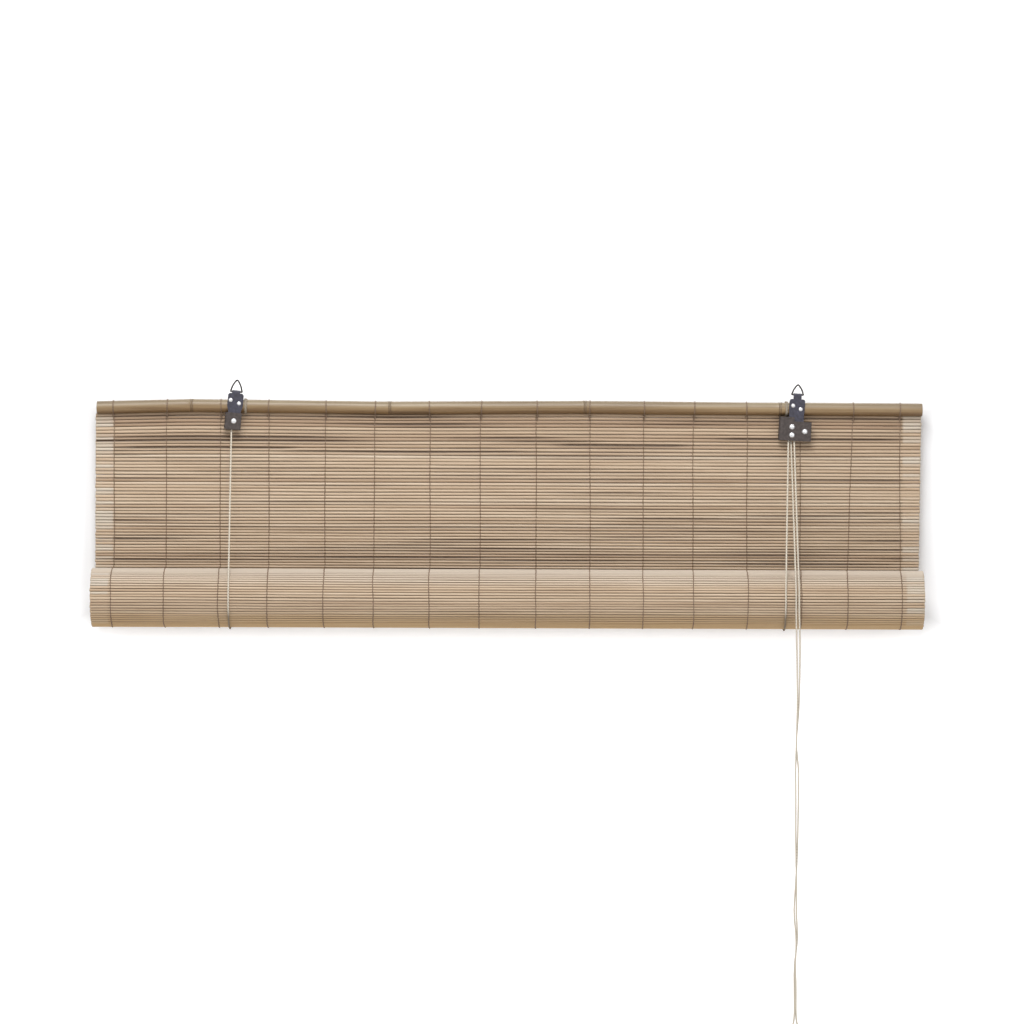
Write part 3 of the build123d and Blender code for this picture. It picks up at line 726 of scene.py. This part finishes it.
# The blind hangs by two triangles of dark steel wire, 2.5 mm thick, whose base lies in the strap's eye.
# The sides bow out a little and the three corners are bent round.
# The wire is one closed curve.
ring_wire, tree, shader = new_material("dark_wire", roughness=0.45, metallic=0.35)
tarnish = pattern(tree, (1, 1, 1), 500.0, 3.0)
wire_shades = ramp(tree, tarnish, (0.3, (0.030, 0.027, 0.026)), (0.7, (0.070, 0.063, 0.058)))
tree.links.new(wire_shades, shader.inputs["Base Color"])
ring_places = (
    ("left", (-0.39510, -0.00854, -0.01565), 5.0, 0.0168, "ring_left"),
    ("right", (0.42068, -0.00854, -0.01739), 3.0, 0.0146, "ring_right"),
)
half_base = 0.0083
wire_radius = 0.00125
for side, eye, lean, ring_height, body in ring_places:
    flat = (
        (0, 0),
        (half_base - 0.0022, 0),
        (half_base + 0.0002, 0),
        (half_base - 0.0005, 0.0021),
        (half_base * 0.74, ring_height * 0.50),
        (0.0022, ring_height - 0.0016),
        (0, ring_height + 0.0004),
        (-0.0022, ring_height - 0.0016),
        (-half_base * 0.74, ring_height * 0.50),
        (0.0005 - half_base, 0.0021),
        (-half_base - 0.0002, 0),
        (0.0022 - half_base, 0),
    )
    turn = radians(lean)
    route = []
    for u, v in flat:
        x = eye[0] + u * cos(turn) + v * sin(turn)
        z = eye[2] - u * sin(turn) + v * cos(turn)
        route.append((x, eye[1], z))
    name = "wire_ring_" + side
    ring = drawn(name, [route], wire_radius, ring_wire, sides=4, resolution=6, closed=True)
    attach(ring, body)
    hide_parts("hang_ring_" + side)

# Bright domed nails hold the straps to the rail; domed rivets hold the housings and what turns in them.
# They are nickel plated and polished, with a few fine scratches.
# Each is turned from its section.
bright_plate, tree, shader = new_material("bright_nickel", roughness=0.33, metallic=1.0)
scratches = pattern(tree, (1, 1, 1), 2400.0, 4.0)
nickel_shades = ramp(tree, scratches, (0.25, (0.66, 0.66, 0.68)), (0.6, (0.85, 0.85, 0.86)))
tree.links.new(nickel_shades, shader.inputs["Base Color"])
bumped(tree, shader, scratches, 0.00003, 0.4)


def turned(name, feet, head_radius, head_rise, shank_radius, depth, tail, nodes):
    """Fasteners spun from one section, each standing on its foot and pointing to the room."""
    bm = bmesh.new()
    ball = (head_radius**2 + head_rise**2) / (2 * head_rise)
    reach = asin(head_radius / ball)
    dome = []
    for step in range(9):
        lean = reach * step / 8
        dome.append((ball * sin(lean), head_rise - ball + ball * cos(lean)))
    section = [(0.0, head_rise)] + dome[1:] + [(head_radius - 0.0001, 0.00002)]
    section += [(shank_radius, 0.00002)]
    if tail:
        tail_end = -depth - 0.0007
        section += [(shank_radius, -depth), (tail, -depth), (tail * 0.8, tail_end), (0.0, tail_end)]
    else:
        section += [(shank_radius, 0.0015 - depth), (0.0, -depth)]
    for foot in feet:
        x, y, z = foot
        verts = [bm.verts.new((x + radius, y - height, z)) for radius, height in section]
        edges = [bm.edges.new(pair) for pair in zip(verts, verts[1:])]
        bmesh.ops.spin(
            bm,
            geom=verts + edges,
            cent=foot,
            axis=(0, 1, 0),
            angle=2 * pi,
            steps=32,
            use_merge=True,
        )
    bmesh.ops.remove_doubles(bm, verts=bm.verts, dist=0.000003)
    piece = finished(bm, name, bright_plate)
    piece.data.set_sharp_from_angle(angle=radians(45))
    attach(piece, "head")
    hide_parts(*nodes)
    return piece


nail_feet = (
    (-0.40318, -0.01067, -0.02769),
    (-0.39107, -0.01067, -0.03276),
    (0.41424, -0.01067, -0.03328),
    (0.42509, -0.01067, -0.03845),
)
turned("domed_nails", nail_feet, 0.0031, 0.0017, 0.0009, 0.012, 0, ["strap_nails"])
for node, name, foot, depth in (
    ("axle_rivet_left", "left_rivet", (-0.39854, -0.01187, -0.05841), 0.0078),
    ("axle_rivet_right", "axle_rivet_right_domed", (0.41263, -0.01187, -0.06403), 0.0109),
    ("guide_post_rivet", "guide_post_rivet_domed", (0.41251, -0.01187, -0.07594), 0.0109),
    ("cam_rivet", "cam_rivet_domed", (0.43120, -0.01187, -0.07092), 0.0109),
):
    turned(name, [foot], 0.0040, 0.0022, 0.0015, depth, 0.0020, [node])

# The sheaves are moulded in ivory plastic and the locking cam is brass.
# They turn on the rivets inside the housings, where they hardly show, and keep their CAD form.
sheave_plastic, tree, shader = new_material("sheave_plastic", roughness=0.4)
cloud = pattern(tree, (1, 1, 1), 400.0, 2.0)
ivory = ramp(tree, cloud, (0.3, (0.66, 0.63, 0.55)), (0.7, (0.74, 0.72, 0.65)))
tree.links.new(ivory, shader.inputs["Base Color"])
cam_brass, tree, shader = new_material("cam_brass", roughness=0.34, metallic=1.0)
cloud = pattern(tree, (1, 1, 1), 500.0, 4.0)
brass_shades = ramp(tree, cloud, (0.3, (0.42, 0.29, 0.11)), (0.7, (0.62, 0.46, 0.20)))
tree.links.new(brass_shades, shader.inputs["Base Color"])
for node, name, body in (
    ("sheave_left", "left_sheave_wheel", "left_sheave"),
    ("sheave_right_front", "front_sheave_wheel", "right_front_sheave"),
    ("sheave_right_back", "back_sheave_wheel", "right_back_sheave"),
):
    dressed(node, name, sheave_plastic, 0.0001, body)
dressed("lock_cam", "brass_cam", cam_brass, 0.00015, "cam")

# Two cream lift cords of braided cotton, 2.4 mm thick. Each is tied round the rail, runs down behind
# the mat, under the roll and up in front, over a sheave, and leaves the right housing as a pull cord.
# Each stretch is a curve made into a mesh; its braid follows two values kept on the mesh.
# The cords' middles lie at hang_reach and sling_reach from the roll's axis.
cord_radius = 0.0012
braid_length = 0.0042
hang_reach = 0.0448
sling_reach = 0.0450
cord_cotton, tree, shader = new_material("cord_cotton", roughness=0.85)
along = reckon(tree, "MULTIPLY", attribute(tree, "along"), 2 * pi / braid_length)
split = tree.nodes.new("ShaderNodeSeparateXYZ")
tree.links.new(attribute(tree, "around", "Vector"), split.inputs["Vector"])
around = reckon(tree, "ARCTAN2", split.outputs["Y"], split.outputs["X"])
around = reckon(tree, "MULTIPLY", around, 2.0)
first = reckon(tree, "SINE", reckon(tree, "ADD", along, around))
second = reckon(tree, "SINE", reckon(tree, "SUBTRACT", along, around))
braid = reckon(tree, "MULTIPLY", reckon(tree, "MAXIMUM", first, second), 0.5)
braid = reckon(tree, "ADD", braid, 0.5)
cord_colour = ramp(tree, braid, (0.25, (0.360, 0.310, 0.245)), (0.85, (0.625, 0.568, 0.475)))
# The rail ties are darkened by dirt; the slings by shade painted under the roll.
cord_colour = mixed(tree, attribute(tree, "soil_and_shade"), cord_colour, (0.140, 0.100, 0.060))
tree.links.new(cord_colour, shader.inputs["Base Color"])
bumped(tree, shader, braid, 0.0002, 0.8)


def with_braid(piece):
    """Keeps on each vertex how far along the cord it lies and which way round; a cord has 12 sides."""
    mesh = piece.data
    sides = 12
    rings = len(mesh.vertices) // sides
    along_values = []
    around_values = []
    reach = 0.0
    last = None
    for ring in range(rings):
        corners = [mesh.vertices[ring * sides + side].co for side in range(sides)]
        middle = sum(corners, Vector()) / sides
        reach += (middle - last).length if last else 0.0
        last = middle
        for side in range(sides):
            along_values.append(reach)
            turn = 2 * pi * side / sides
            around_values += [cos(turn), sin(turn), 0.0]
    spare = len(mesh.vertices) - rings * sides
    along_values += [reach] * spare
    around_values += [1.0, 0.0, 0.0] * spare
    along_layer = mesh.attributes.new("along", "FLOAT", "POINT")
    along_layer.data.foreach_set("value", along_values)
    around_layer = mesh.attributes.new("around", "FLOAT_VECTOR", "POINT")
    around_layer.data.foreach_set("vector", around_values)


def cord_stretch(name, route, body, nodes, resolution=4, order=3, soil_and_shade=None):
    """One stretch of lift cord along its control points; the soiled value tells how dark a point is made,
    by dirt on the rail ties and by shade painted on the slings.
    """
    piece = drawn(name, [route], cord_radius, cord_cotton, sides=4, resolution=resolution, order=order)
    with_braid(piece)
    if soil_and_shade:
        values = [soil_and_shade(vert.co) for vert in piece.data.vertices]
        piece.data.attributes.new("soil_and_shade", "FLOAT", "POINT").data.foreach_set("value", values)
    if body:
        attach(piece, body)
    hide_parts(*nodes)
    return piece


def arc(x, start, end, count, reach=hang_reach):
    """Control points of a cord round the roll, angles in degrees above the roll's axis."""
    points = []
    for step in range(count + 1):
        angle = radians(start + (end - start) * step / count)
        points.append((x, roll_y + reach * cos(angle), roll_z + reach * sin(angle)))
    return points


def tied_dirt(point):
    """The ties on the rail have taken on its colour."""
    return 0.7


def sling_shade(point):
    """Shade painted on the slings: brown under the roll's front, where the roll shades them."""
    return 0.85 * min(1.0, max(0.0, (-0.330 - point.z) / 0.012))


back_y = 0.0055
for side, x, sling_x, rise, top in (
    ("left", -0.3817, -0.4011, 0.0006, (-0.3817, back_y, -0.04769)),
    ("right", 0.4049, 0.4001, -0.00103, (0.4049, back_y, -0.04931)),
):
    route = []
    reach = (rail_radius + 0.0007) * 1.009
    for step in range(49):
        turn = radians(-90 + 15 * step)
        shift = -0.0013 + 0.0024 * step / 48
        route.append((x + shift, reach * cos(turn), rail_z + rise - reach * sin(turn)))
    route += [(x + 0.0012, 0.0085, -0.0452 + rise), (x + 0.0002, 0.0060, -0.0480 + rise)]
    cord_stretch(side + "_rail_tie", route, "head", [side + "_cord_anchor"], soil_and_shade=tied_dirt)
    route = [top, (sling_x, back_y, roll_z)]
    fall = cord_stretch(side + "_back_fall", route, "head", [side + "_cord_back_fall"], 6, 2)
    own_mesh(fall)

for side, sling_x, exit_point, front in (
    ("left", -0.4011, (-0.40219, -0.00737, -0.0730), 161.86),
    ("right", 0.4001, (0.40758, -0.00757, -0.0847), 161.00),
):
    route = arc(sling_x, 0, front - 360, 18, sling_reach)
    cord_stretch(side + "_sling", route, "sling_carriage", [side + "_cord_sling"], soil_and_shade=sling_shade)
    foot = arc(sling_x, front, front, 1)[0]
    route = [exit_point, foot]
    fall = cord_stretch(side + "_front_fall", route, "head", [side + "_cord_front_fall"], 6, 2)
    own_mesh(fall)


def over_wheel(centre, pitch, start, end, y, steps=8):
    """Control points of a cord over a sheave, angles in degrees from +X."""
    points = []
    for step in range(steps + 1):
        angle = radians(start + (end - start) * step / steps)
        points.append((centre[0] + pitch * cos(angle), y, centre[1] + pitch * sin(angle)))
    return points


left_wheel = (-0.39854, -0.05841)
right_wheel = (0.41263, -0.06403)
route = [(-0.40219, -0.00737, -0.0730), (-0.40219, -0.00737, -0.0620)]
route += over_wheel(left_wheel, 0.0037, 180, 88, -0.00737)
route += [(-0.39313, -0.0072, -0.0549), (-0.3920, -0.0020, -0.05477), (-0.3885, 0.0078, -0.05477)]
route += [(-0.3700, 0.0084, -0.0549), (-0.0500, 0.0088, -0.0572), (0.3800, 0.0084, -0.0590)]
route += [(0.3990, 0.0078, -0.05899), (0.4025, -0.0020, -0.05899), (0.4052, -0.0040, -0.0586)]
route += over_wheel(right_wheel, 0.0051, 92, -11, -0.00407)
route += [(0.4157, -0.00407, -0.0745), (0.4150, -0.00407, -0.0780), (0.4116, -0.00407, -0.0847)]
cord_stretch("left_cord_across", route, "head", ["left_cord_crossing"], 6)
route = [(0.40758, -0.00757, -0.0847), (0.40753, -0.00757, -0.0700)]
route += over_wheel(right_wheel, 0.0051, 183, -11, -0.00757, 12)
route += [(0.4160, -0.00757, -0.0745), (0.4157, -0.00757, -0.0780), (0.4160, -0.00757, -0.0847)]
cord_stretch("right_cord_over", route, "head", ["right_cord_over_sheave"], 6)

# Below the housing both cords run down to the front of the roll, touch it, and drop from there.
# Under the roll they are slack, sway a little and lie loosely round each other.
drop_end = -0.5642
pull_places = (
    ("left", 0.4148, (0.4116, -0.00407, -0.0847), 160.14),
    ("right", 0.4192, (0.4160, -0.00757, -0.0847), 161.00),
)
# Their sway: a height, each cord's place there, and half the gap by which one passes before the other.
drop_sway = (
    (-0.335, 0.4149, 0.4193, 0.0),
    (-0.360, 0.4155, 0.4202, 0.0),
    (-0.385, 0.4160, 0.4206, 0.0),
    (-0.412, 0.4166, 0.4203, 0.0),
    (-0.440, 0.4170, 0.4199, 0.0003),
    (-0.466, 0.4170, 0.4194, 0.0006),
    (-0.490, 0.4165, 0.4177, 0.0011),
    (-0.510, 0.4160, 0.4160, 0.0014),
    (-0.526, 0.4155, 0.4158, 0.0014),
    (-0.542, 0.4150, 0.4174, 0.0009),
    (-0.554, 0.4148, 0.4187, 0.0003),
)
for side, x, exit_point, front in pull_places:
    foot = arc(x, front, front, 1)[0]
    route = [exit_point, foot]
    leg = cord_stretch(side + "_pull_leg", route, "head", [side + "_cord_pull_leg"], 6, 2)
    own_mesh(leg)
    route = arc(x, front, 180, 3)
    cord_stretch(side + "_pull_wrap", route, "sling_carriage", [side + "_cord_pull_wrap"])
    start = (x, roll_y - hang_reach, roll_z)
    end = (x, roll_y - hang_reach, drop_end)
    route = [start, (x, start[1], start[2] - 0.012)]
    for height, left_x, right_x, gap in drop_sway:
        if side == "left":
            route.append((left_x, start[1] - gap, height))
        else:
            route.append((right_x, start[1] + gap, height))
    route.append(end)
    fall = cord_stretch(side + "_pull_drop", route, None, [side + "_cord_pull_drop"], 6)
    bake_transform(fall)

# The free ends of the pull cords, two metres each, are wound side by side into one coil, held by a tie.
# Each ends in a small overhand knot that lies in the coil.
# A cord is one curve: its hanging stretch first, then its turns, each of twelve points.
coil_x = 0.4154
coil_y = -0.0841
coil_z = -0.95315
left_hang = (
    (0.41480, -0.08410, drop_end),
    (0.41532, -0.08435, -0.6120),
    (0.41504, -0.08500, -0.6570),
    (0.41603, -0.08584, -0.6990),
    (0.41696, -0.08548, -0.7350),
    (0.41639, -0.08394, -0.7650),
    (0.41903, -0.08263, -0.8020),
    (0.41378, -0.08241, -0.8370),
    (0.41400, -0.08320, -0.8690),
    (0.41430, -0.08426, -0.8990),
)
right_hang = (
    (0.41920, -0.08410, drop_end),
    (0.41888, -0.08385, -0.6120),
    (0.41816, -0.08320, -0.6570),
    (0.41697, -0.08236, -0.6990),
    (0.41464, -0.08272, -0.7350),
    (0.41281, -0.08426, -0.7650),
    (0.41697, -0.08557, -0.8020),
    (0.41502, -0.08579, -0.8370),
    (0.41640, -0.08500, -0.8690),
    (0.41620, -0.08394, -0.8990),
)
coil_turns = 16
turn_points = 12
layer_turns = 4
layer_reach = (0.0247, 0.02225, 0.0198, 0.01735)
column_pitch = 0.00243
start_angle = 16
tie_route = []
for step in range(37):
    turn = radians(30 * step)
    tie_route.append(
        (
            coil_x - 0.0024 + 0.0048 * step / 36,
            coil_y + 0.0118 * cos(turn),
            coil_z + 0.0210 + 0.0068 * sin(turn),
        )
    )
coil_tie = cord_stretch("coil_tie", tie_route, "head", [], 3)
for side, hang, way in (("left", left_hang, -1), ("right", right_hang, 1)):
    route = list(hang)
    route.append((coil_x + way * 0.0016, coil_y + way * 0.0013, coil_z + 0.0320))
    for step in range(coil_turns * turn_points):
        turn = step / turn_points
        layer = int(turn // layer_turns)
        reach = layer_reach[layer]
        if layer < len(layer_reach) - 1:
            into = min(1.0, max(0.0, (turn - layer_turns * layer - 3.6) / 0.4))
            reach += (layer_reach[layer + 1] - layer_reach[layer]) * into
        column = turn % layer_turns
        if layer % 2:
            column = layer_turns - column
        column = min(3.4, max(0.0, column - 0.3))
        angle = radians(90 - way * (start_angle + 360 * turn))
        reach *= 1 + uneven(turn * 1.3, 500 + way, 0.02)
        deep = coil_y + way * (0.0013 + column_pitch * column)
        route.append((coil_x + reach * cos(angle), deep, coil_z + reach * sin(angle)))
    for step, reach in enumerate((0.0165, 0.0155, 0.0142, 0.0130)):
        angle = radians(90 - way * (start_angle + 30 * step))
        route.append((coil_x + reach * cos(angle), deep, coil_z + reach * sin(angle)))
    knot_x, knot_y, knot_z = route[-1]
    knot_route = []
    for step in range(16):
        turn = radians(48 * step)
        knot_route.append(
            (
                knot_x + 0.0011 * sin(2 * turn) + 0.0020 * cos(turn),
                knot_y + 0.0014 * sin(turn),
                knot_z - 0.0012 + 0.0019 * sin(turn * 1.5),
            )
        )
    knot = cord_stretch(side + "_end_knot", knot_route, "head", [], 3)
    holder = strands(side + "_pull_cord_line", [route])
    line = bpy.data.meshes.new_from_object(holder)
    bpy.data.objects.remove(holder)
    pull_cord = drawn(side + "_pull_cord", [route], cord_radius, cord_cotton, sides=4)
    with_braid(pull_cord)
    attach(pull_cord, "head")
    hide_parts(side + "_cord_pull_tail", "cord_coil")

# A white backdrop stands just behind the blind and a pale floor lies under it, both part of the studio.
# From behind the backdrop is clear, and light passes it to the blind's back.
# To the camera both glow a little, which is light painted on: the backdrop's glow stops behind and just
# beside the blind, so that its gaps stay dark and the lamps' shadows show at its sides, and it clears the
# roll's shadow under it.
def glowing(tree, shader, strength):
    """The shader with some light of its own added, for the camera only."""
    kind = tree.nodes.new("ShaderNodeLightPath")
    glow = tree.nodes.new("ShaderNodeEmission")
    strength = reckon(tree, "MULTIPLY", kind.outputs["Is Camera Ray"], strength)
    tree.links.new(strength, glow.inputs["Strength"])
    both = tree.nodes.new("ShaderNodeAddShader")
    tree.links.new(shader.outputs[0], both.inputs[0])
    tree.links.new(glow.outputs[0], both.inputs[1])
    return both.outputs[0]


def past(tree, value, edge, slope):
    """From 0 at an edge up to 1 beyond it."""
    beyond = reckon(tree, "MULTIPLY", reckon(tree, "SUBTRACT", value, edge), slope)
    return reckon(tree, "MINIMUM", reckon(tree, "MAXIMUM", beyond, 0.0), 1.0)


backdrop_y = 0.020
floor_z = -1.25
backdrop_paint, tree, shader = new_material("backdrop_paint", roughness=0.9)
shader.inputs["Base Color"].default_value = (0.82, 0.82, 0.83, 1)
where = tree.nodes.new("ShaderNodeTexCoord")
split = tree.nodes.new("ShaderNodeSeparateXYZ")
tree.links.new(where.outputs["Object"], split.inputs["Vector"])
above = reckon(tree, "ABSOLUTE", reckon(tree, "ADD", split.outputs["Z"], 0.190))
beside = reckon(tree, "ABSOLUTE", split.outputs["X"])
lit = reckon(tree, "MAXIMUM", past(tree, above, 0.150, 30.0), past(tree, beside, 0.615, 16.0))
lit = reckon(tree, "MULTIPLY", lit, 0.5)
front = glowing(tree, shader, lit)
clear = tree.nodes.new("ShaderNodeBsdfTransparent")
facing = tree.nodes.new("ShaderNodeNewGeometry")
path_kind = tree.nodes.new("ShaderNodeLightPath")
choose = tree.nodes.new("ShaderNodeMixShader")
passing = reckon(
    tree,
    "MAXIMUM",
    path_kind.outputs["Is Shadow Ray"],
    path_kind.outputs["Is Diffuse Ray"],
)
passing = reckon(tree, "MAXIMUM", facing.outputs["Backfacing"], passing)
tree.links.new(passing, choose.inputs[0])
tree.links.new(front, choose.inputs[1])
tree.links.new(clear.outputs[0], choose.inputs[2])
tree.links.new(choose.outputs[0], tree.nodes["Material Output"].inputs["Surface"])
bm = bmesh.new()
bmesh.ops.create_grid(bm, x_segments=1, y_segments=1, size=4.0)
bmesh.ops.rotate(bm, verts=bm.verts, cent=(0, 0, 0), matrix=Matrix.Rotation(pi / 2, 3, "X"))
bmesh.ops.translate(bm, verts=bm.verts, vec=(0, backdrop_y, 1.6))
mesh = bpy.data.meshes.new("backdrop")
bm.to_mesh(mesh)
bm.free()
mesh.materials.append(backdrop_paint)
backdrop = bpy.data.objects.new("backdrop", mesh)
bpy.context.scene.collection.objects.link(backdrop)

floor_paint, tree, shader = new_material("floor_paint", roughness=0.9)
shader.inputs["Base Color"].default_value = (0.80, 0.80, 0.80, 1)
tree.links.new(glowing(tree, shader, 0.45), tree.nodes["Material Output"].inputs["Surface"])
bm = bmesh.new()
bmesh.ops.create_grid(bm, x_segments=1, y_segments=1, size=14.0)
bmesh.ops.translate(bm, verts=bm.verts, vec=(0, 0, floor_z))
floor = finished(bm, "floor", floor_paint, smooth=False)


def lamp(name, place, aim, size, power):
    """A soft square lamp."""
    data = bpy.data.lights.new(name, "AREA")
    data.size = size
    data.energy = power
    light = bpy.data.objects.new(name, data)
    light.location = place
    light.rotation_euler = (Vector(aim) - Vector(place)).to_track_quat("-Z", "Y").to_euler()
    bpy.context.scene.collection.objects.link(light)


lamp("lamp_top", (-0.3, -2.2, 2.4), (0, 0, -0.3), 1.6, 105)
lamp("lamp_left", (-3.2, -3.0, 0.4), (0, 0, -0.3), 2.2, 26)
lamp("lamp_right", (3.2, -3.0, 0.4), (0, 0, -0.3), 2.2, 26)
lamp("lamp_behind", (0.4, 3.2, 1.6), (0, 0, -0.2), 2.4, 70)
world = bpy.data.worlds.new("studio")
world.use_nodes = True
tree = world.node_tree
sky = tree.nodes["Background"]
sky.inputs["Color"].default_value = (1, 1, 1, 1)
path_kind = tree.nodes.new("ShaderNodeLightPath")
seen = reckon(tree, "MAXIMUM", path_kind.outputs["Is Camera Ray"], path_kind.outputs["Is Glossy Ray"])
seen = reckon(tree, "MAXIMUM", seen, path_kind.outputs["Is Transmission Ray"])
seen = reckon(tree, "MULTIPLY", seen, 0.95)
tree.links.new(reckon(tree, "MAXIMUM", seen, 0.42), sky.inputs["Strength"])
bpy.context.scene.world = world

# The camera looks level along +Y from 6.3 m, a little right of the middle and 0.15 m under the rail.
camera_data = bpy.data.cameras.new("camera")
camera_data.sensor_width = 36.0
camera_data.lens = 152.17
camera = bpy.data.objects.new("camera", camera_data)
camera.location = (0.00619, -6.3, -0.1891)
camera.rotation_euler = (pi / 2, radians(-0.2), 0)
bpy.context.scene.collection.objects.link(camera)
bpy.context.scene.camera = camera
bpy.context.scene.view_settings.view_transform = "Standard"
